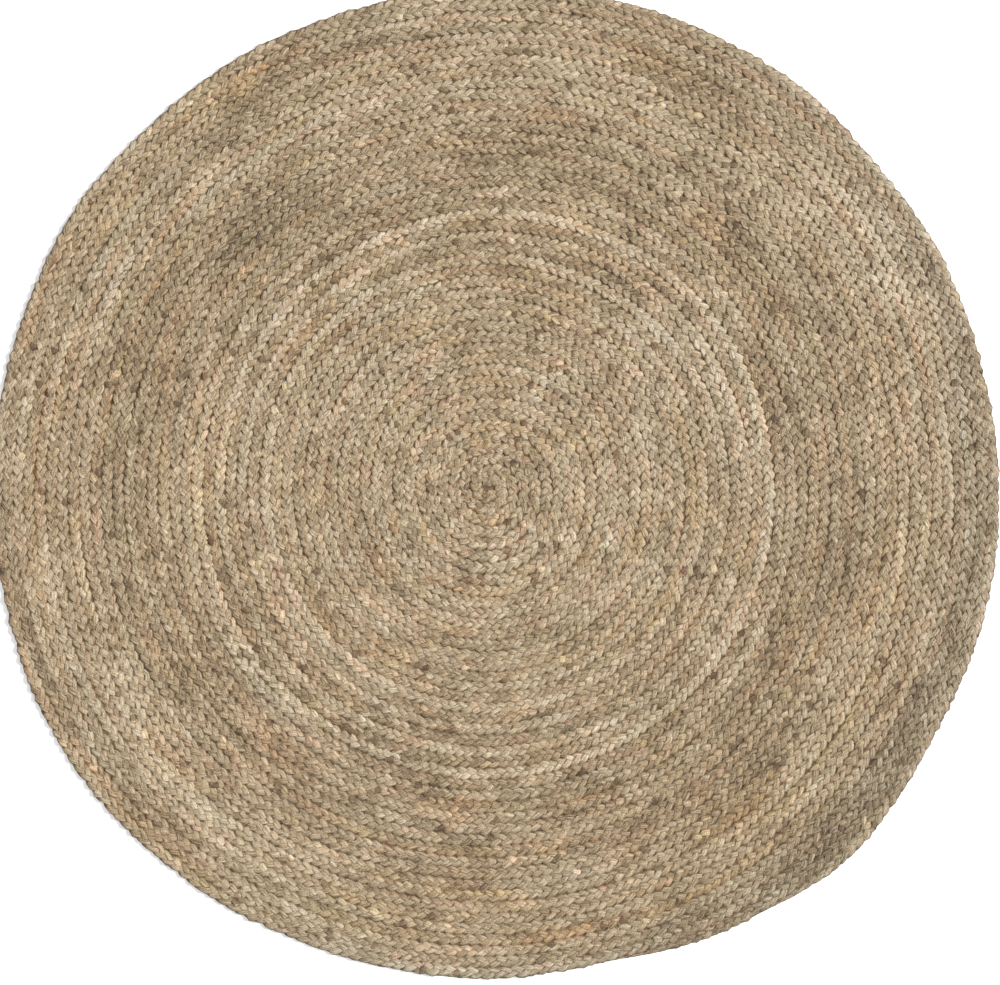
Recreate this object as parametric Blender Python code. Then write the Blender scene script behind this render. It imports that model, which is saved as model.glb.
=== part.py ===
"""Round jute rug, about 1.5 m across and 9 mm thick.

The rug is sewn from two flat braids that lie side by side. The pair starts at the centre and
winds clockwise, seen from above, into one flat coil, each turn sewn to the turn inside it.
So the top is a double spiral of low crests with a seam between every two rows, the underside
is flat, and the edge steps in where the two braids run out, one after the other.

Metres, +Z up. The origin is on the floor, at the middle of the rug's outline.
"""

import math

import bmesh
import bpy
from mathutils import Vector
from mathutils.geometry import delaunay_2d_cdt

# Driving dimensions
BRAID_WIDTH = 0.0167       # one flat three-strand braid, as sewn into the coil
THICKNESS = 0.009          # floor to the crest of a row
SEAM_DEPTH = 0.0016        # how far a seam lies below the crests
INNER_RADIUS = 0.7365      # coil's radius just past its outer end, before any unevenness
INNER_BRAID_END = 281.0    # degrees anticlockwise from +X where the inner braid has run out
OUTER_BRAID_END = 301.0    # the same for the outer braid, which stops first
INNER_BRAID_TAPER = 20.0   # degrees over which the inner braid thins out before its end
OUTER_BRAID_TAPER = 14.0

PITCH = 2 * BRAID_WIDTH    # the coil grows by both braids in each turn
TURNS = INNER_RADIUS / PITCH
FIRST_TURN = 0.35          # the coil starts after this part of a turn, beside the centre

# Where the coil was sewn tighter or slacker, so that its rows bulge out or draw in.
# direction: degrees anticlockwise from +X; half_width: degrees each side of it
# distance: metres from the coil's centre; reach: metres each side of that
# push: metres outwards
UNEVENNESS = (
    # direction, half_width, distance, reach, push
    (45, 38, 0.62, 0.36, 0.0062),
    (108, 36, 0.66, 0.38, -0.0078),
    (205, 48, 0.64, 0.36, 0.0066),
    (314, 34, 0.70, 0.38, 0.0078),
    (352, 24, 0.72, 0.30, 0.0030),
    (280, 80, 0.17, 0.22, 0.0110),
    (60, 40, 0.30, 0.14, -0.0070),
    (39, 13, 0.78, 0.10, -0.0085),
    (68, 20, 0.78, 0.10, -0.0010),
    (134, 14, 0.78, 0.12, -0.0060),
    (164, 24, 0.78, 0.12, -0.0050),
    (192, 16, 0.78, 0.12, -0.0055),
    (217, 14, 0.78, 0.12, 0.0035),
    (256, 26, 0.78, 0.14, -0.0050),
    (283, 15, 0.78, 0.12, -0.0085),
    (298, 10, 0.78, 0.12, -0.0030),
    (330, 16, 0.78, 0.10, -0.0050),
)

# The edge, from the floor up: how far each level is inside the outline, and its height.
EDGE_PROFILE = (
    # inset, height
    (0.0040, 0.0),
    (0.0012, 0.0016),
    (0.0000, 0.0042),
    (0.0010, 0.0066),
)
EDGE_POINTS = 144

# Points in each turn of the crest and seam lines, by the turn's distance from the centre.
LINE_POINTS = (
    # from, points
    (0.45, 48),
    (0.20, 36),
    (0.0, 24),
)
LINE_CLEARANCE = 0.004     # the lines stop this far inside the edge's top level

JUTE_COLOUR = (0.42, 0.33, 0.22, 1.0)
JUTE_ROUGHNESS = 0.9


def swell(offset):
    """A smooth hump: 1 at offset 0, falling to 0 at offset 1 and beyond."""
    if abs(offset) >= 1:
        return 0.0
    return 0.5 + 0.5 * math.cos(math.pi * offset)


def smooth_step(share):
    """Rises smoothly from 0 to 1 as share does."""
    share = min(max(share, 0.0), 1.0)
    return share * share * (3 - 2 * share)


def uneven(degrees, radius):
    """How far the rows near this place are pushed outwards."""
    push = 0.0
    for direction, half_width, distance, reach, most in UNEVENNESS:
        aside = (degrees - direction + 180) % 360 - 180
        push += most * swell(aside / half_width) * swell((radius - distance) / reach)
    return push


def place(degrees, radius):
    """The point of the even coil at this angle and radius, moved as its rows are uneven."""
    angle = math.radians(degrees)
    moved = radius + uneven(degrees, radius)
    return Vector((moved * math.cos(angle), moved * math.sin(angle)))


def rim_radius(degrees):
    """The even coil's outermost radius. It steps in where each of the braids ends."""
    before_inner_end = (degrees - INNER_BRAID_END) % 360
    before_outer_end = before_inner_end - (OUTER_BRAID_END - INNER_BRAID_END)
    turn_inside = INNER_RADIUS - PITCH * before_inner_end / 360
    inner_share = smooth_step(before_inner_end / INNER_BRAID_TAPER)
    outer_share = smooth_step(before_outer_end / OUTER_BRAID_TAPER)
    return turn_inside + BRAID_WIDTH * (inner_share + outer_share)


def edge_ring(inset):
    """The points round the rug's edge, this far inside its outline."""
    ring = []
    for step in range(EDGE_POINTS):
        degrees = 360 * step / EDGE_POINTS
        point = place(degrees, rim_radius(degrees))
        ring.append(point - point.normalized() * inset)
    return ring


def points_in_turn(radius):
    """How many points a turn at this radius has."""
    for start, points in LINE_POINTS:
        if radius >= start:
            return points
    raise ValueError("no row of LINE_POINTS covers this radius")


def coil_line(widths_out):
    """A line along the coil, so many braid widths out from the pair's inner side."""
    inset = EDGE_PROFILE[-1][0] + LINE_CLEARANCE
    turn = FIRST_TURN
    line = []
    while turn < TURNS:
        degrees = INNER_BRAID_END + 360 * (TURNS - turn)
        radius = PITCH * turn + BRAID_WIDTH * widths_out
        if radius > rim_radius(degrees) - inset:
            break
        line.append(place(degrees, radius))
        turn += 1 / points_in_turn(radius)
    return line


def top_outline_and_lines():
    """The flat points, edges and heights that the top is drawn from."""
    points = edge_ring(EDGE_PROFILE[-1][0])
    heights = [EDGE_PROFILE[-1][1]] * EDGE_POINTS
    edges = []
    for widths_out in (0.0, 0.5, 1.0, 1.5):
        is_seam = widths_out == int(widths_out)
        height = THICKNESS - SEAM_DEPTH if is_seam else THICKNESS
        line = coil_line(widths_out)
        first = len(points)
        points += line
        heights += [height] * len(line)
        edges += [(first + step, first + step + 1) for step in range(len(line) - 1)]
    return points, heights, edges


def build_mesh():
    """The whole rug as one closed mesh."""
    points, heights, edges = top_outline_and_lines()
    outline = list(range(EDGE_POINTS))
    flat_points, _, faces, sources, _, _ = delaunay_2d_cdt(points, edges, [outline], 1, 1e-6)
    bm = bmesh.new()
    top = {}
    place_of = {}
    for index, (point, source) in enumerate(zip(flat_points, sources)):
        top[index] = bm.verts.new((point.x, point.y, heights[source[0]]))
        place_of[source[0]] = top[index]
    for face in faces:
        bm.faces.new([top[index] for index in face])

    upper = [place_of[step] for step in range(EDGE_POINTS)]
    for inset, height in reversed(EDGE_PROFILE[:-1]):
        lower = [bm.verts.new((*point, height)) for point in edge_ring(inset)]
        for step in range(EDGE_POINTS):
            after = (step + 1) % EDGE_POINTS
            bm.faces.new((lower[step], lower[after], upper[after], upper[step]))
        upper = lower
    bm.faces.new(list(reversed(upper)))

    bmesh.ops.recalc_face_normals(bm, faces=bm.faces)
    mesh = bpy.data.meshes.new("rug")
    bm.to_mesh(mesh)
    bm.free()
    return mesh


def centre_on_origin(mesh):
    """Moves the mesh so that the middle of its outline is over the origin."""
    for axis in (0, 1):
        places = [vertex.co[axis] for vertex in mesh.vertices]
        middle = (min(places) + max(places)) / 2
        for vertex in mesh.vertices:
            vertex.co[axis] -= middle


def jute_material():
    """Undyed jute, dull and light brown."""
    material = bpy.data.materials.new("jute")
    material.use_nodes = True
    shader = material.node_tree.nodes["Principled BSDF"]
    shader.inputs["Base Color"].default_value = JUTE_COLOUR
    shader.inputs["Roughness"].default_value = JUTE_ROUGHNESS
    shader.inputs["Metallic"].default_value = 0.0
    return material


def main():
    for old in list(bpy.data.objects):
        bpy.data.objects.remove(old, do_unlink=True)
    mesh = build_mesh()
    centre_on_origin(mesh)
    mesh.materials.append(jute_material())
    rug = bpy.data.objects.new("rug", mesh)
    bpy.context.scene.collection.objects.link(rug)


main()
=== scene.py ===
"""The looks of a round jute rug: six real strands, in two plaits that coil out from the centre.

Everything is in metres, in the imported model's frame, with the floor at z = 0.
"""
import math

import bpy
import numpy as np
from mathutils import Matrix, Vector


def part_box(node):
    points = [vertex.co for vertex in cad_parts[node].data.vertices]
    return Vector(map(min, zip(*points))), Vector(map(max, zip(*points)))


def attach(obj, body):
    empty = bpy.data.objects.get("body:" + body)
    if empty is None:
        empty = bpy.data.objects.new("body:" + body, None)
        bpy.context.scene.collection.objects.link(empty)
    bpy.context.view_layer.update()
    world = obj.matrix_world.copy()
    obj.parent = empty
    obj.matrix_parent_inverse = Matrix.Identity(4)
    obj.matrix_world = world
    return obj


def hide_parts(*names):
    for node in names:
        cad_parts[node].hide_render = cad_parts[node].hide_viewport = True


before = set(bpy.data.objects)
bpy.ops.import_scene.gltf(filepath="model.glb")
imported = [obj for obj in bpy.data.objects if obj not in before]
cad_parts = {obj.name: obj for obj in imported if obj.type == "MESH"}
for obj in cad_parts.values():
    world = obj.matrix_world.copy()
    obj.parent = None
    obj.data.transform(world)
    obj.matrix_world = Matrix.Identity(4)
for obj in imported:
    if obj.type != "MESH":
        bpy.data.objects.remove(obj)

# The coil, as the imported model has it
BRAID_WIDTH = 0.0167
THICKNESS = 0.009
INNER_RADIUS = 0.7365
INNER_BRAID_END = 281.0
OUTER_BRAID_END = 301.0
INNER_BRAID_TAPER = 20.0
OUTER_BRAID_TAPER = 14.0
PITCH = 2 * BRAID_WIDTH
TURNS = INNER_RADIUS / PITCH
UNEVENNESS = (
    # direction, half_width, distance, reach, push
    (45, 38, 0.62, 0.36, 0.0062),
    (108, 36, 0.66, 0.38, -0.0078),
    (205, 48, 0.64, 0.36, 0.0066),
    (314, 34, 0.70, 0.38, 0.0078),
    (352, 24, 0.72, 0.30, 0.0030),
    (280, 80, 0.17, 0.22, 0.0110),
    (60, 40, 0.30, 0.14, -0.0070),
    (39, 13, 0.78, 0.10, -0.0085),
    (68, 20, 0.78, 0.10, -0.0010),
    (134, 14, 0.78, 0.12, -0.0060),
    (164, 24, 0.78, 0.12, -0.0050),
    (192, 16, 0.78, 0.12, -0.0055),
    (217, 14, 0.78, 0.12, 0.0035),
    (256, 26, 0.78, 0.14, -0.0050),
    (283, 15, 0.78, 0.12, -0.0085),
    (298, 10, 0.78, 0.12, -0.0030),
    (330, 16, 0.78, 0.10, -0.0050),
)

# One plait of three strands
STRANDS = 3
SWING = 0.0055             # how far a strand's middle swings to each side
STRAIGHTNESS = 0.90        # 0 for a strand that snakes evenly, 1 for one that zigzags
LIFT = 0.0013              # how far it rises and dips as it passes over and under
LIFT_FLATNESS = 3.2        # how level a strand runs while it is over or under
LATE_LIFT = 0.38           # radians by which its rise comes late, towards the plait's side
LONGER_OVER = 0.10         # how much longer it stays over than under
HALF_WIDTH = 0.0064        # of a strand, at the top of a crossing
HALF_HEIGHT = 0.0032
SQUARENESS = 0.75          # 1 for a round strand, less for one pressed square by its neighbours
FLATTENING = 0.4           # how far a strand's shading leans to its widest faces
BUMP_SPACING = 0.01245     # along one side of the plait, at the coil's centre
BUMP_SPACING_GAIN = 0.0044 # how much longer it gets for each metre from the centre
RINGS = 12                 # rings of a strand in each full swing
SIDES = 5
START_RADIUS = 0.0035      # where each plait's middle starts, beside the coil's centre
START_TAPER = 0.45         # turns over which a plait thickens from nothing
START_SHARE = 0.45         # how far along that thickening it starts
WAIST = 0.15               # how much narrower a strand is between its crossings
THINNEST = 0.3             # a strand's size where its plait ends, as a share of its full size
END_LEVEL = 0.4            # the same for the height of its middle
CAP_SHARE = 0.4            # the share of its size that a strand's first and last ring keep
LOWEST = 0.0002            # how far above the floor the strands stay
TURN_STEP = 1 / 400        # turns between the points of a plait's middle line
BAKE_STRIPS = 55           # strips that a strand is cut into in its bake map
BAKE_GAP = 0.04            # left free at each strip's sides
YARN_OFFSET = 100.0        # metres between the yarns of two strands, in the materials' noise

# Unevenness of the hand plaiting
CROSSING_LIFT_VARIES = 0.40
CROSSING_WIDTH_VARIES = 0.24
CROSSING_SHIFT = 0.0012
CROSSING_DRIFT = 0.30      # radians along the plait
SPACING_VARIES = 0.14
SPACING_VARIES_OVER = 0.05 # metres along the plait
ROW_SHIFT = 0.0009
ROW_SHIFTS_OVER = 0.11     # metres along the plait

# Lighter and darker lengths of each plait: turns from the centre, and tone
LOTS = {
    "inner": ((0, -0.02), (3, 0.05), (4, 0.05), (5, 0.0), (7, 0.05), (8, 0.0), (11, -0.07),
              (16, -0.06), (18, 0.03), (20, -0.05)),
    "outer": ((0, -0.02), (4.2, 0.0), (4.6, 0.07), (5.2, 0.0), (8.6, 0.02), (9.0, 0.09), (9.6, 0.08),
              (10.0, 0.03), (11.0, 0.03), (11.5, 0.11), (12.3, 0.09), (12.8, -0.02), (14, -0.05),
              (17, -0.04), (17.6, 0.05), (18.5, 0.05), (19, 0.0)),
}
# Areas where the rug is lighter, darker, warmer or cooler than usual; the last two make its rim cooler
AREAS = (
    # direction, half_width, distance, reach, tone, warmth
    (131, 18, 0.51, 0.06, -0.11, -0.10),
    (156, 16, 0.55, 0.08, -0.07, 0.06),
    (85, 24, 0.52, 0.07, -0.03, 0.0),
    (34, 8, 0.59, 0.04, -0.07, 0.0),
    (344, 32, 0.515, 0.07, -0.04, 0.0),
    (311, 18, 0.57, 0.08, -0.09, 0.06),
    (252, 30, 0.435, 0.05, -0.06, 0.0),
    (306, 34, 0.255, 0.04, -0.06, 0.04),
    (173, 18, 0.59, 0.07, -0.04, 0.05),
    (64, 14, 0.69, 0.045, -0.09, 0.12),
    (292, 20, 0.645, 0.05, -0.04, 0.10),
    (318, 42, 0.725, 0.06, -0.15, -0.36),
    (123, 12, 0.68, 0.05, -0.05, 0.08),
    (226, 30, 0.66, 0.045, 0.15, 0.0),
    (35, 20, 0.672, 0.07, 0.10, -0.04),
    (2, 22, 0.677, 0.05, 0.07, -0.04),
    (33, 30, 0.36, 0.08, 0.07, -0.05),
    (212, 60, 0.452, 0.022, 0.11, -0.16),
    (205, 70, 0.352, 0.018, 0.07, -0.12),
    (335, 36, 0.452, 0.020, 0.06, -0.05),
    (178, 30, 0.70, 0.04, 0.05, 0.14),
    (5, 80, 0.735, 0.040, 0.00, -0.60),
    (265, 45, 0.735, 0.035, 0.00, -0.45),
)

# Jute's colours, from its darkest tone to its palest
JUTE_TONES = (
    (0.05, (0.090, 0.054, 0.020)),
    (0.25, (0.240, 0.163, 0.082)),
    (0.42, (0.375, 0.276, 0.163)),
    (0.55, (0.480, 0.372, 0.238)),
    (0.70, (0.610, 0.498, 0.348)),
    (0.90, (0.800, 0.690, 0.535)),
)
FIBRE_TONES = ((0.35, (0.230, 0.160, 0.085)), (0.60, (0.660, 0.560, 0.410)))
# painted shade: the dark tones of the sheet that fills the pits between the strands
SHADED_MATTED_TONES = ((0.25, (0.070, 0.042, 0.018)), (0.75, (0.240, 0.165, 0.090)))
TONE_OFFSET = -0.05        # the yarn's usual tone is a little under the middle one, 0.5
# What some of the yarn multiplies its colour by
WARM = (1.06, 0.97, 0.81)
COOL = (0.94, 1.00, 1.07)
PINK = (1.08, 0.96, 0.91)
OLIVE = (0.96, 1.00, 0.95)
DARK_CROSSING = (0.50, 0.41, 0.31)
PALE_CROSSING = (1.22, 1.20, 1.20)
# painted shade: thin dark lines along the strands' sides, where they tuck under their neighbours
STRAND_EDGE_SHADE = (0.60, 0.51, 0.41)
# painted shade: what the strands' colour is multiplied by deep in the creases between them, greyer at
# the rim
CREASE_SHADE = (0.42, 0.31, 0.20)
CREASE_SHADE_AT_RIM = (0.55, 0.50, 0.45)
YARN_RELIEF = 0.0009
MATTED_RELIEF = 0.0008

# Loose fibres
FIBRES = 3200
FIBRE_RINGS = 5
FIBRE_SIDES = 3
FIBRE_THICKNESS = 0.0006
FIBRE_BEND = 0.22          # how far a fibre bends sideways, as a share of its length
FIBRE_TURN = 0.7           # radians by which fibres turn away from the rows
FIBRE_LOW = THICKNESS - 0.0012
FIBRE_HIGH = THICKNESS + 0.0004
FIBRE_SHORTEST = 0.008
FIBRE_LONGEST = 0.026
FIBRE_MARGIN = 0.006       # how far the fibres' middles stay inside the rug's edge

# The matted fibre between the strands, dark as painted shade of the pits between them
GROUND_LOW = 0.0030
GROUND_HIGH = 0.0060
GROUND_MARGIN = 0.006      # how far its edge stays inside the rug's

# Light and camera
SUN_STRENGTH = 3.2
SUN_ANGLE = 12.0           # degrees across, which sets how soft its shadows are
SUN_TILT = 48.0            # degrees from straight above
LIGHT_FROM = 12.0          # degrees anticlockwise from +X
WORLD_STRENGTH = 0.61
FLOOR_REACH = 6.0          # how far the floor goes each way
CAMERA_DISTANCE = 4.0
CAMERA_OVER = (0.0074, -0.0146)
VIEW_WIDTH = 1.5           # metres seen across the picture, at the rug's top
SENSOR_WIDTH = 36.0


def swell(offset):
    """A smooth hump: 1 at offset 0, falling to 0 at offset 1 and beyond."""
    return 0.5 + 0.5 * np.cos(np.pi * np.clip(np.abs(offset), 0, 1))


def smooth_step(share):
    """Rises smoothly from 0 to 1 as share does."""
    share = np.clip(share, 0.0, 1.0)
    return share * share * (3 - 2 * share)


def uneven(degrees, radius):
    """How far the rows near these places are pushed outwards."""
    push = np.zeros_like(radius)
    for direction, half_width, distance, reach, most in UNEVENNESS:
        aside = (degrees - direction + 180) % 360 - 180
        push += most * swell(aside / half_width) * swell((radius - distance) / reach)
    return push


def area_tone_and_warmth(degrees, radius):
    """How light and how warm the jute is in the area of these places, beyond the usual."""
    tone = np.zeros_like(radius)
    warmth = np.zeros_like(radius)
    for direction, half_width, distance, reach, lighter, warmer in AREAS:
        aside = (degrees - direction + 180) % 360 - 180
        there = swell(aside / half_width) * swell((radius - distance) / reach)
        tone += lighter * there
        warmth += warmer * there
    return tone, warmth


def place(degrees, radius):
    """The x and y of the even coil's points, moved as its rows are uneven."""
    angle = np.radians(degrees)
    moved = radius + uneven(degrees, radius)
    return np.stack([moved * np.cos(angle), moved * np.sin(angle)], axis=-1)


def rim_radius(degrees):
    """The even coil's outermost radius. It steps in where each of the plaits ends."""
    before_inner_end = (degrees - INNER_BRAID_END) % 360
    before_outer_end = before_inner_end - (OUTER_BRAID_END - INNER_BRAID_END)
    turn_inside = INNER_RADIUS - PITCH * before_inner_end / 360
    inner_share = smooth_step(before_inner_end / INNER_BRAID_TAPER)
    outer_share = smooth_step(before_outer_end / OUTER_BRAID_TAPER)
    return turn_inside + BRAID_WIDTH * (inner_share + outer_share)


def coil_centre():
    """Where the coil's centre lies, so that the outline's middle is the CAD box's middle."""
    degrees = np.arange(0.0, 360.0, 0.25)
    outline = place(degrees, rim_radius(degrees))
    middle = (outline.min(axis=0) + outline.max(axis=0)) / 2
    low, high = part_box("rug")
    return np.array([(low[axis] + high[axis]) / 2 - middle[axis] for axis in (0, 1)])


CENTRE = coil_centre()


def wander(along, spacing, rng):
    """A smooth random line, from about -1 to 1, that turns every spacing metres."""
    knots = int((along.max() - along.min()) / spacing) + 3
    values = rng.normal(0.0, 0.5, knots)
    at = (along - along.min()) / spacing
    index = at.astype(int)
    return values[index] + (values[index + 1] - values[index]) * smooth_step(at - index)


class Plait:
    """The middle line of one plait, and the phase of its strands' swing along it."""

    def __init__(self, name, seed):
        self.name = name
        self.rng = np.random.default_rng(seed)
        self.lay_line(name == "outer")
        self.shift_rows()
        self.set_phase()

    def lay_line(self, outer):
        """The line's turns, radius and direction, and its share: 1, and less towards its ends."""
        ends_before = (OUTER_BRAID_END - INNER_BRAID_END) / 360 if outer else 0.0
        widths_to_middle = 1.5 if outer else 0.5
        first = START_RADIUS / PITCH - widths_to_middle / 2
        self.turn = np.arange(first, TURNS - ends_before, TURN_STEP)
        left = (TURNS - self.turn) * 360
        inner_share = smooth_step(left / INNER_BRAID_TAPER)
        outer_left = left - (OUTER_BRAID_END - INNER_BRAID_END)
        outer_share = smooth_step(outer_left / OUTER_BRAID_TAPER)
        widths_out = inner_share + outer_share / 2 if outer else inner_share / 2
        self.radius = PITCH * self.turn + BRAID_WIDTH * widths_out
        self.degrees = INNER_BRAID_END + left
        started = smooth_step((self.turn - first) / START_TAPER + START_SHARE)
        self.share = started * (outer_share if outer else inner_share)

    def shift_rows(self):
        """Measures the line, and moves its rows a little in and out."""
        step = np.hypot(*np.diff(place(self.degrees, self.radius), axis=0).T)
        self.along = np.concatenate([[0.0], np.cumsum(step)])
        shift = ROW_SHIFT * wander(self.along, ROW_SHIFTS_OVER, self.rng)
        self.radius = self.radius + shift * self.share

    def set_phase(self):
        """Its strands make one swing in each three bumps, longer and shorter by turns."""
        swing_length = STRANDS * (BUMP_SPACING + BUMP_SPACING_GAIN * self.radius)
        uneven_spacing = SPACING_VARIES * wander(self.along, SPACING_VARIES_OVER, self.rng)
        swing_length = swing_length * (1 + uneven_spacing)
        swings = np.gradient(self.along) / swing_length
        self.phase = np.cumsum(swings) * 2 * np.pi

    def strand(self, number):
        """One strand's Rings. They lie at the same places in every swing."""
        step = 2 * np.pi / RINGS
        phase = np.arange(self.phase[0] + step / 2, self.phase[-1], step)
        phase = (np.floor(phase / step) + 0.5) * step
        swing = phase + number * 2 * np.pi / STRANDS
        rise = np.sin(2 * swing - LATE_LIFT) + LONGER_OVER
        over = np.tanh(LIFT_FLATNESS * rise) / np.tanh(LIFT_FLATNESS)
        crossing = np.floor((swing - LATE_LIFT / 2) / (np.pi / 2)).astype(int)
        crossing = crossing - crossing.min()

        def each_crossing():
            return self.rng.uniform(-1, 1, crossing.max() + 1)[crossing]

        def varied(amount):
            return amount * each_crossing() * np.abs(over)

        at = phase + varied(CROSSING_DRIFT)
        degrees = np.interp(at, self.phase, self.degrees)
        radius = np.interp(at, self.phase, self.radius)
        share = np.interp(at, self.phase, self.share)
        size = THINNEST + (1 - THINNEST) * share
        swung = np.arcsin(STRAIGHTNESS * np.sin(swing)) / math.asin(STRAIGHTNESS)
        across = (SWING * swung + varied(CROSSING_SHIFT)) * share
        level = THICKNESS / 2 * (END_LEVEL + (1 - END_LEVEL) * share)
        lift = LIFT * over * (1 + varied(CROSSING_LIFT_VARIES)) * share
        wide = (1 - WAIST + WAIST * np.abs(over)) * (1 + varied(CROSSING_WIDTH_VARIES))

        rings = Rings()
        rings.middles = np.column_stack([place(degrees, radius + across) + CENTRE, level + lift])
        rings.width = HALF_WIDTH * wide * size
        rings.height = HALF_HEIGHT * size
        past_over = (swing - np.pi / 4 - LATE_LIFT / 2) / np.pi
        rings.twist = (past_over + 0.5) * 2 * np.pi / SIDES
        rings.along = np.interp(phase, self.phase, self.along)
        rings.level = level
        rings.reach = (LIFT + HALF_HEIGHT) * size
        tone, rings.warmth = area_tone_and_warmth(degrees, radius)
        turns, lots = np.array(LOTS[self.name]).T
        turn = np.interp(phase, self.phase, self.turn)
        rings.tone = tone + np.interp(turn, turns, lots)
        rings.own = 0.5 + 0.5 * each_crossing()
        return rings


class Rings:
    """The rings of points round one strand: where they are, their shape and their yarn's looks."""


def tube(rings):
    """The points of a strand's skin, ring by ring, and how far each is to the strand's side.

    Where the strand passes over or under, a flat of it faces out.
    """
    forward = np.gradient(rings.middles, axis=0)
    forward /= np.linalg.norm(forward, axis=1)[:, None]
    side = np.cross(forward, [0.0, 0.0, 1.0])
    side /= np.linalg.norm(side, axis=1)[:, None]
    up = np.cross(side, forward)
    angle = 2 * np.pi * (np.arange(SIDES) / SIDES + 0.25)[None, :] + rings.twist[:, None]
    across, high = np.cos(angle), np.sin(angle)
    across = np.sign(across) * np.abs(across) ** SQUARENESS
    high = np.sign(high) * np.abs(high) ** SQUARENESS * rings.height[:, None]
    points = rings.middles[:, None, :] + side[:, None, :] * (across * rings.width[:, None])[:, :, None]
    points += up[:, None, :] * high[:, :, None]
    points[:, :, 2] = np.clip(points[:, :, 2], LOWEST, None)
    return points, across


def flat_faced_normals(points):
    """Normals for a strand's points that lean to its widest faces, as in yarn pressed flat."""
    beyond = np.roll(points, -1, axis=1)
    faces = np.cross(beyond[1:] - points[:-1], beyond[:-1] - points[1:])
    faces *= np.linalg.norm(faces, axis=2)[:, :, None] ** FLATTENING
    faces = np.concatenate([faces[:1], faces, faces[-1:]])
    faces = faces[:-1] + faces[1:]
    normals = faces + np.roll(faces, 1, axis=1)
    return normals / np.linalg.norm(normals, axis=2)[:, :, None]


def strand_faces(count):
    """The faces between a strand's rings, and the two that close its ends."""
    ring = np.arange(count - 1)[:, None] * SIDES
    side = np.arange(SIDES)[None, :]
    after = (side + 1) % SIDES
    quads = np.stack([ring + side, ring + SIDES + side, ring + SIDES + after, ring + after], -1)
    last = (count - 1) * SIDES
    caps = [list(range(SIDES)), [last + step for step in reversed(range(SIDES))]]
    return quads.reshape(-1, 4), caps


def bake_map(count, around):
    """Where each corner lies in the bake map: the strand is cut into strips, one above another."""
    in_strip = math.ceil((count - 1) / BAKE_STRIPS)
    index = np.repeat(np.arange(count - 1), SIDES)
    strip, within = index // in_strip, index % in_strip
    u = np.stack([within, within + 1, within + 1, within], -1) / in_strip
    v = (strip[:, None] + BAKE_GAP + (1 - 2 * BAKE_GAP) * around) / BAKE_STRIPS
    return u, v


def strand_mesh(name, rings, yarn_offset):
    """A closed tube, with UV maps that tell its material where on the strand it is."""
    points, across = tube(rings)
    count = len(points)
    quads, caps = strand_faces(count)
    mesh = bpy.data.meshes.new(name)
    mesh.from_pydata(points.reshape(-1, 3).tolist(), [], quads.tolist() + caps)
    mesh.shade_smooth()
    corners = np.concatenate([quads.ravel(), *caps])
    at_ring = corners // SIDES
    at_caps = np.zeros(2 * SIDES)

    near = np.tile(np.arange(SIDES) / SIDES, count - 1)
    around = np.stack([near, near, near + 1 / SIDES, near + 1 / SIDES], -1)
    u, v = bake_map(count, around)
    # how far each point lies from the strand's middle height; the material paints crease shade where
    # this is small
    out = np.abs(points[:, :, 2] - rings.level[:, None]) / rings.reach[:, None]
    layers = {
        "strand": (rings.along[at_ring] + yarn_offset, np.concatenate([around.ravel(), at_caps])),
        "area": (rings.tone[at_ring], rings.warmth[at_ring]),
        "crossing": (out.ravel()[corners], rings.own[at_ring]),
        "across": (across.ravel()[corners], np.zeros(len(corners))),
        "OFBake": (np.concatenate([u.ravel(), at_caps]), np.concatenate([v.ravel(), at_caps])),
    }
    for layer, (first, second) in layers.items():
        mesh.uv_layers.new(name=layer).data.foreach_set("uv", np.stack([first, second], -1).ravel())
    mesh.uv_layers.active = mesh.uv_layers["strand"]
    mesh.normals_split_custom_set_from_vertices(flat_faced_normals(points).reshape(-1, 3).tolist())
    return mesh


def add_piece(name, mesh, material):
    """Puts a piece of the rug in the scene, riding on the rug's one body."""
    piece = bpy.data.objects.new(name, mesh)
    bpy.context.scene.collection.objects.link(piece)
    mesh.materials.append(material)
    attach(piece, "root")
    return piece


def add_node(tree, kind, settings=None, **inputs):
    """Adds a shader node. An input given as a socket is linked, and any other value is set."""
    node = tree.nodes.new("ShaderNode" + kind)
    for name, value in (settings or {}).items():
        setattr(node, name, value)
    for name, value in inputs.items():
        key = int(name[1:]) if name[0] == "_" else name.replace("_", " ")
        if isinstance(value, bpy.types.NodeSocket):
            tree.links.new(value, node.inputs[key])
        else:
            node.inputs[key].default_value = value
    return node


def maths(tree, operation, first, second=0.0, third=0.0):
    node = add_node(tree, "Math", {"operation": operation}, _0=first, _1=second, _2=third)
    return node.outputs[0]


def combine(tree, x, y=0.0, z=0.0):
    return add_node(tree, "CombineXYZ", X=x, Y=y, Z=z).outputs[0]


def noise(tree, vector, scale, detail=2.0, roughness=0.5):
    """Noise from about 0.25 to 0.75."""
    return add_node(tree, "TexNoise", Vector=vector, Scale=scale, Detail=detail,
                    Roughness=roughness).outputs["Fac"]


def noise_along(tree, along, line, scale, detail=1.0):
    """Noise that changes along the strand alone. Each line number gives another one."""
    return noise(tree, combine(tree, along, line), scale, detail)


def weighted(tree, pairs):
    """0.5 when every value is 0.5, and further from it by each value's weight."""
    total = 0.5 - sum(weight for _, weight in pairs) / 2
    for value, weight in pairs:
        total = maths(tree, "MULTIPLY_ADD", value, weight, total)
    return total


def stretch(tree, value, zero_at, one_at):
    """Maps zero_at..one_at to 0..1, smoothly and no further. zero_at may be the larger."""
    return add_node(tree, "MapRange", {"interpolation_type": "SMOOTHSTEP"}, Value=value,
                    From_Min=zero_at, From_Max=one_at).outputs[0]


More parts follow.
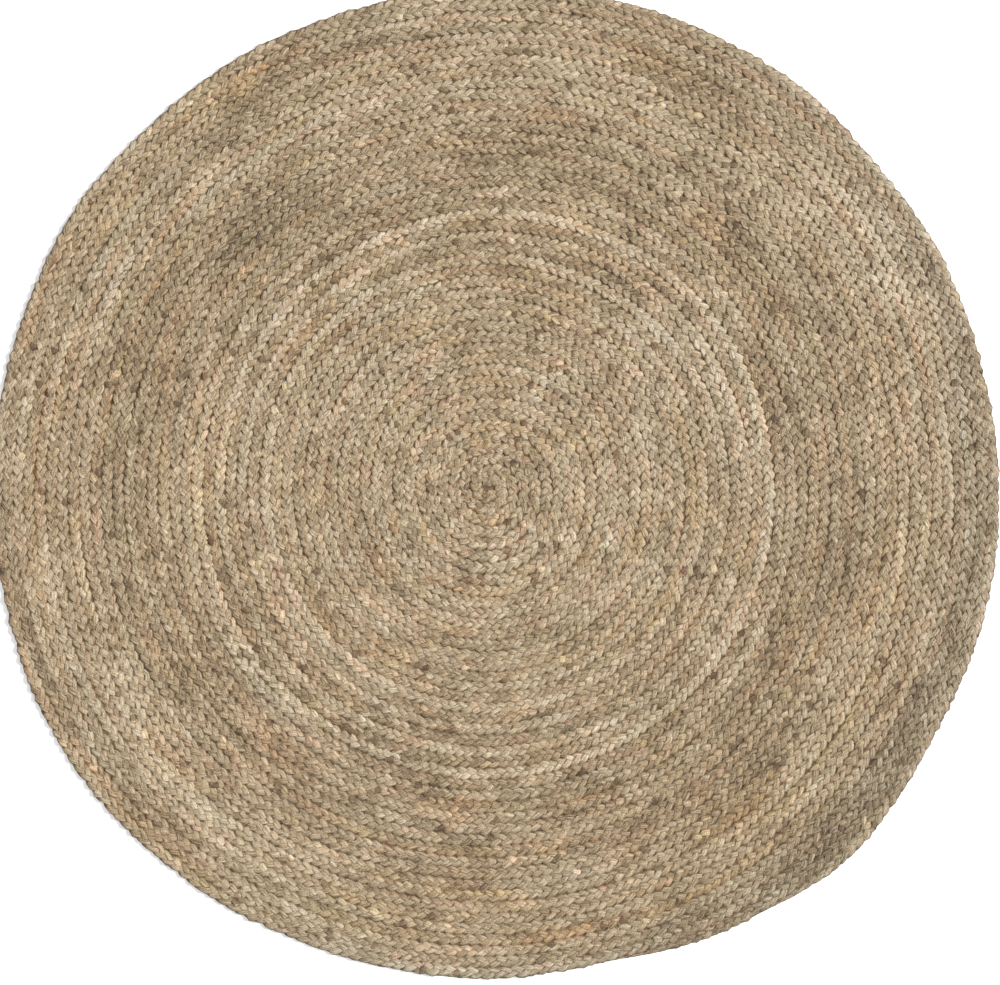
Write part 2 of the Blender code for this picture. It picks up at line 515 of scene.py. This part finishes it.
def ramp(tree, value, stops):
    """A colour ramp; each stop is a position and a colour."""
    node = add_node(tree, "ValToRGB", Fac=value)
    elements = node.color_ramp.elements
    while len(elements) < len(stops):
        elements.new(0.5)
    for element, (position, colour) in zip(elements, stops):
        element.position = position
        element.color = (*colour, 1.0)
    return node.outputs["Color"]


def blend(tree, share, first, second, way="MIX"):
    """Blends two colours; either may be a plain colour."""
    first = first if isinstance(first, bpy.types.NodeSocket) else (*first, 1.0)
    second = second if isinstance(second, bpy.types.NodeSocket) else (*second, 1.0)
    return add_node(tree, "Mix", {"data_type": "RGBA", "blend_type": way}, _0=share, _6=first,
                    _7=second).outputs[2]


def tinted(tree, colour, tint, value, none_at, full_at):
    """Multiplies the colour by the tint, the more so the nearer the value is to full_at."""
    return blend(tree, stretch(tree, value, none_at, full_at), colour, tint, "MULTIPLY")


def new_material(name):
    material = bpy.data.materials.new(name)
    material.use_nodes = True
    return material, material.node_tree, material.node_tree.nodes["Principled BSDF"]


def floor_material(name):
    """A plain white studio floor. It glows a little, so that shadows on it stay faint."""
    material, _, shader = new_material(name)
    shader.inputs["Base Color"].default_value = (0.86, 0.86, 0.86, 1.0)
    shader.inputs["Roughness"].default_value = 0.9
    shader.inputs["Emission Color"].default_value = (1.0, 1.0, 1.0, 1.0)
    shader.inputs["Emission Strength"].default_value = 0.3
    return material


def uv_parts(tree, name):
    """The two values that a UV map holds."""
    uv = add_node(tree, "UVMap", {"uv_map": name}).outputs[0]
    parts = add_node(tree, "SeparateXYZ", Vector=uv).outputs
    return parts[0], parts[1]


def along_the_rows(tree, around, outward, start=0.0):
    """Noise coordinates that change slowly along the rug's rows and fast from row to row."""
    where = add_node(tree, "TexCoord").outputs["Object"]
    flat = add_node(tree, "VectorMath", {"operation": "SUBTRACT"}, _0=where,
                    _1=(*CENTRE, THICKNESS / 2)).outputs[0]
    radius = add_node(tree, "VectorMath", {"operation": "LENGTH"}, _0=flat).outputs["Value"]
    heading = add_node(tree, "VectorMath", {"operation": "NORMALIZE"}, _0=flat).outputs[0]
    outwards = maths(tree, "MULTIPLY_ADD", radius, outward, start)
    return add_node(tree, "VectorMath", {"operation": "MULTIPLY_ADD"}, _0=heading,
                    _1=(around, around, 0.0), _2=combine(tree, 0.0, 0.0, outwards)).outputs[0]


def painted_crease_shade(tree):
    """Painted shade for the depths between the strands, which is greyer at the rug's rim."""
    where = add_node(tree, "TexCoord").outputs["Object"]
    radius = add_node(tree, "VectorMath", {"operation": "LENGTH"}, _0=where).outputs["Value"]
    at_rim = stretch(tree, radius, INNER_RADIUS - BRAID_WIDTH, INNER_RADIUS)
    return blend(tree, at_rim, CREASE_SHADE, CREASE_SHADE_AT_RIM)


def add_relief(tree, shader, height, depth):
    """Gives the surface a bump as deep as depth, where height goes from 0 to 1."""
    bump = add_node(tree, "Bump", Strength=1.0, Distance=depth, Height=height)
    tree.links.new(bump.outputs[0], shader.inputs["Normal"])


def strand_edge(tree, along):
    """How near the strand's side a place is: about 0 at its middle, 1 at its side, and ragged."""
    ragged = noise_along(tree, along, 23.0, 55.0, 2.0)
    ragged = maths(tree, "MULTIPLY_ADD", ragged, 0.6, -0.3)
    across, _ = uv_parts(tree, "across")
    return maths(tree, "ADD", maths(tree, "ABSOLUTE", across), ragged)


def fibre_marks(tree, along, around):
    """Three values that show the yarn's fibres: its clumps, its streaks and its fuzz."""
    angle = maths(tree, "MULTIPLY", around, 2 * math.pi)
    cosine, sine = maths(tree, "COSINE", angle), maths(tree, "SINE", angle)
    clumps = noise(tree, combine(tree, maths(tree, "MULTIPLY", along, 60.0), cosine, sine), 1.2)
    fibres = combine(tree, maths(tree, "MULTIPLY", along, 9.0), cosine, sine)
    streaks = stretch(tree, noise(tree, fibres, 3.2, 4.0, 0.65), 0.30, 0.70)
    where = add_node(tree, "TexCoord").outputs["Object"]
    fuzz = stretch(tree, noise(tree, where, 620.0, 1.0), 0.30, 0.70)
    return clumps, streaks, fuzz


def yarn_tone(tree, along, marks, own, area_tone):
    """How light the yarn is: its lengths, rows, patches and areas, and its fibres."""
    clumps, streaks, fuzz = marks
    where = add_node(tree, "TexCoord").outputs["Object"]
    length = noise_along(tree, along, 3.0, 9.0)
    crossing = noise_along(tree, along, 7.0, 40.0)
    patches = noise(tree, where, 7.0, 3.0, 0.6)
    bands = noise(tree, along_the_rows(tree, 2.5, 22.0), 1.0, 2.0)
    rows = noise(tree, along_the_rows(tree, 8.0, 60.0, 5.0), 1.0, 1.0)
    tone = weighted(tree, ((length, 0.26), (crossing, 0.30), (clumps, 0.36), (streaks, 0.38),
                           (fuzz, 0.24), (patches, 0.15), (bands, 0.30), (rows, 0.38), (own, 0.12)))
    return maths(tree, "ADD", maths(tree, "ADD", tone, area_tone), TONE_OFFSET)


def yarn_hue(tree, along, own, area_warmth, warmer):
    """0.5 for the usual hue of yarn, more for a warm one and less for a cool one."""
    where = add_node(tree, "TexCoord").outputs["Object"]
    bands = noise(tree, along_the_rows(tree, 2.5, 40.0, 9.0), 1.0, 2.0)
    patches = noise(tree, where, 11.0, 2.0)
    long = noise_along(tree, along, 11.0, 5.0)
    short = noise_along(tree, along, 17.0, 30.0)
    hue = weighted(tree, ((bands, 1.0), (patches, 0.3), (long, 0.3), (short, 0.3), (own, 0.2)))
    return maths(tree, "ADD", maths(tree, "ADD", hue, area_warmth), warmer)


def yarn_pinkness(tree, along):
    """0.5 for the usual yarn, more for a pinkish one and less for an olive one."""
    bands = noise(tree, along_the_rows(tree, 4.0, 60.0, 14.0), 1.0, 2.0)
    short = noise_along(tree, along, 29.0, 24.0)
    return weighted(tree, ((bands, 1.3), (short, 0.7)))


def jute_material(name, warmer):
    """Undyed jute yarn. Its tone and hue change along the strand and from fibre to fibre."""
    material, tree, shader = new_material(name)
    along, around = uv_parts(tree, "strand")
    area_tone, area_warmth = uv_parts(tree, "area")
    out, own = uv_parts(tree, "crossing")
    edge = strand_edge(tree, along)
    marks = fibre_marks(tree, along, around)
    hue = yarn_hue(tree, along, own, area_warmth, warmer)
    pinkness = yarn_pinkness(tree, along)

    colour = ramp(tree, yarn_tone(tree, along, marks, own, area_tone), JUTE_TONES)
    colour = tinted(tree, colour, WARM, hue, 0.50, 0.90)
    colour = tinted(tree, colour, COOL, hue, 0.50, 0.10)
    colour = tinted(tree, colour, PINK, pinkness, 0.50, 0.85)
    colour = tinted(tree, colour, OLIVE, pinkness, 0.50, 0.15)
    colour = tinted(tree, colour, DARK_CROSSING, own, 0.045, 0.0)
    colour = tinted(tree, colour, PALE_CROSSING, own, 0.97, 1.0)
    # painted shade: darker and browner where the skin lies deep, near the plait's middle height
    colour = tinted(tree, colour, painted_crease_shade(tree), out, 0.60, 0.25)
    # painted shade: thin dark lines along the strand's sides, where it tucks under its neighbours
    colour = tinted(tree, colour, STRAND_EDGE_SHADE, edge, 0.48, 0.76)
    tree.links.new(colour, shader.inputs["Base Color"])

    shader.inputs["Roughness"].default_value = 0.52
    shader.inputs["Specular IOR Level"].default_value = 0.55
    shader.inputs["Sheen Weight"].default_value = 0.12
    shader.inputs["Sheen Roughness"].default_value = 0.5
    clumps, streaks, fuzz = marks
    rounded = stretch(tree, edge, 0.76, 0.40)
    relief = weighted(tree, ((streaks, 0.7), (clumps, 0.9), (fuzz, 0.15), (rounded, 0.5)))
    add_relief(tree, shader, relief, YARN_RELIEF)
    return material


def fibre_material(name):
    """Single jute fibres, most of them paler than the yarn."""
    material, tree, shader = new_material(name)
    where = add_node(tree, "TexCoord").outputs["Object"]
    colour = ramp(tree, noise(tree, where, 60.0, 1.0), FIBRE_TONES)
    tree.links.new(colour, shader.inputs["Base Color"])
    shader.inputs["Roughness"].default_value = 0.6
    return material


def shaded_matted_material(name):
    """Short fibres matted between the strands, dark as painted shade of the pits between them."""
    material, tree, shader = new_material(name)
    where = add_node(tree, "TexCoord").outputs["Object"]
    fibres = noise(tree, where, 420.0, 3.0, 0.7)
    patches = noise(tree, where, 9.0, 2.0)
    tone = weighted(tree, ((fibres, 1.2), (patches, 0.6)))
    colour = ramp(tree, tone, SHADED_MATTED_TONES)
    tree.links.new(colour, shader.inputs["Base Color"])
    shader.inputs["Roughness"].default_value = 0.9
    add_relief(tree, shader, fibres, MATTED_RELIEF)
    return material


def add_strands():
    """Three strands to each plait. Each tapers quickly at its very ends."""
    pieces = []
    for plait_name, seed, warmer in (("inner", 3, 0.05), ("outer", 7, -0.02)):
        plait = Plait(plait_name, seed)
        material = jute_material("jute_" + plait_name, warmer)
        for number in range(STRANDS):
            rings = plait.strand(number)
            rings.width[[0, -1]] *= CAP_SHARE
            rings.height[[0, -1]] *= CAP_SHARE
            name = f"{plait_name}_plait_strand_{number + 1}"
            mesh = strand_mesh(name, rings, yarn_offset=YARN_OFFSET * len(pieces))
            pieces.append(add_piece(name, mesh, material))
    return pieces


def fibre(rng, middle, heading, length):
    """The points of one loose fibre: a thin three-sided tube, bent sideways and bowed up."""
    steps = np.linspace(-1.0, 1.0, FIBRE_RINGS)
    bend = rng.normal(0.0, FIBRE_BEND) * length
    forward = np.array([math.cos(heading), math.sin(heading)])
    aside = np.array([-forward[1], forward[0]])
    flat = middle + np.outer(steps * length / 2, forward) + np.outer((1 - steps ** 2) * bend, aside)
    rise = FIBRE_HIGH - FIBRE_LOW
    height = FIBRE_LOW + rise * (1 - steps ** 2) * rng.uniform(0.4, 1.0)
    thick = FIBRE_THICKNESS / 2 * rng.uniform(0.6, 1.2) * (1.1 - np.abs(steps))
    points = []
    for corner in range(FIBRE_SIDES):
        turned = 2 * math.pi * corner / FIBRE_SIDES
        out = flat + np.outer(thick * math.cos(turned), aside)
        points.append(np.column_stack([out, height + thick * math.sin(turned)]))
    return np.stack(points, axis=1).reshape(-1, 3)


def fibre_faces():
    """The faces of one fibre."""
    faces = []
    for first in range(0, FIBRE_SIDES * (FIBRE_RINGS - 1), FIBRE_SIDES):
        second = first + FIBRE_SIDES
        for corner in range(FIBRE_SIDES):
            after = (corner + 1) % FIBRE_SIDES
            faces.append([first + corner, second + corner, second + after, first + after])
    return np.array(faces)


def add_fibres():
    """Loose fibres that have worked out of the yarn and lie on the rug, mostly along its rows."""
    rng = np.random.default_rng(12)
    points = []
    for _ in range(FIBRES):
        degrees = rng.uniform(0.0, 360.0)
        edge = np.hypot(*place(np.array([degrees]), rim_radius(np.array([degrees])))[0])
        distance = (edge - FIBRE_MARGIN) * math.sqrt(rng.uniform(0.0, 1.0))
        angle = math.radians(degrees)
        middle = CENTRE + distance * np.array([math.cos(angle), math.sin(angle)])
        heading = angle + math.pi / 2 + rng.normal(0.0, FIBRE_TURN)
        points.append(fibre(rng, middle, heading, rng.uniform(FIBRE_SHORTEST, FIBRE_LONGEST)))
    first_points = FIBRE_SIDES * FIBRE_RINGS * np.arange(FIBRES)
    faces = fibre_faces()[None] + first_points[:, None, None]
    mesh = bpy.data.meshes.new("loose_fibres")
    mesh.from_pydata(np.concatenate(points).tolist(), [], faces.reshape(-1, 4).tolist())
    mesh.shade_smooth()
    return add_piece("loose_fibres", mesh, fibre_material("jute_fibre"))


def add_ground():
    """The matted fibre and sewing thread between the strands, as a thin sheet, dark as painted shade
    of the pits it fills.
    """
    degrees = np.arange(0.0, 360.0, 2.0)
    outline = place(degrees, rim_radius(degrees))
    outline = outline * (1 - GROUND_MARGIN / np.linalg.norm(outline, axis=1))[:, None] + CENTRE
    count = len(outline)
    points = [(x, y, height) for height in (GROUND_LOW, GROUND_HIGH) for x, y in outline]
    faces = [list(range(count))[::-1], [count + step for step in range(count)]]
    for step in range(count):
        after = (step + 1) % count
        faces.append([step, after, count + after, count + step])
    mesh = bpy.data.meshes.new("ground")
    mesh.from_pydata(points, [], faces)
    return add_piece("ground", mesh, shaded_matted_material("matted_jute_shaded"))


def add_floor():
    mesh = bpy.data.meshes.new("floor")
    signs = ((-1, -1), (1, -1), (1, 1), (-1, 1))
    corners = [(FLOOR_REACH * x, FLOOR_REACH * y, 0) for x, y in signs]
    mesh.from_pydata(corners, [], [(0, 1, 2, 3)])
    mesh.materials.append(floor_material("floor"))
    floor = bpy.data.objects.new("floor", mesh)
    bpy.context.scene.collection.objects.link(floor)


def add_lights():
    """A soft key light from the right, and an even white world."""
    sun = bpy.data.lights.new("key", "SUN")
    sun.energy = SUN_STRENGTH
    sun.angle = math.radians(SUN_ANGLE)
    key = bpy.data.objects.new("key", sun)
    key.rotation_euler = (0.0, math.radians(SUN_TILT), math.radians(LIGHT_FROM))
    bpy.context.scene.collection.objects.link(key)
    world = bpy.data.worlds.new("studio")
    bpy.context.scene.world = world
    world.use_nodes = True
    background = world.node_tree.nodes["Background"]
    background.inputs["Color"].default_value = (1, 1, 1, 1)
    background.inputs["Strength"].default_value = WORLD_STRENGTH


def add_camera():
    """A camera straight above the rug."""
    lens = bpy.data.cameras.new("camera")
    lens.sensor_width = SENSOR_WIDTH
    lens.lens = SENSOR_WIDTH * CAMERA_DISTANCE / VIEW_WIDTH
    lens.clip_end = 50.0
    camera = bpy.data.objects.new("camera", lens)
    camera.location = (*CAMERA_OVER, CAMERA_DISTANCE + THICKNESS)
    bpy.context.scene.collection.objects.link(camera)
    bpy.context.scene.camera = camera


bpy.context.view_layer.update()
add_camera()
add_lights()
add_floor()
strands = add_strands()
add_fibres()
ground = add_ground()
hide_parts("rug")
bpy.context.scene.view_settings.view_transform = "Standard"
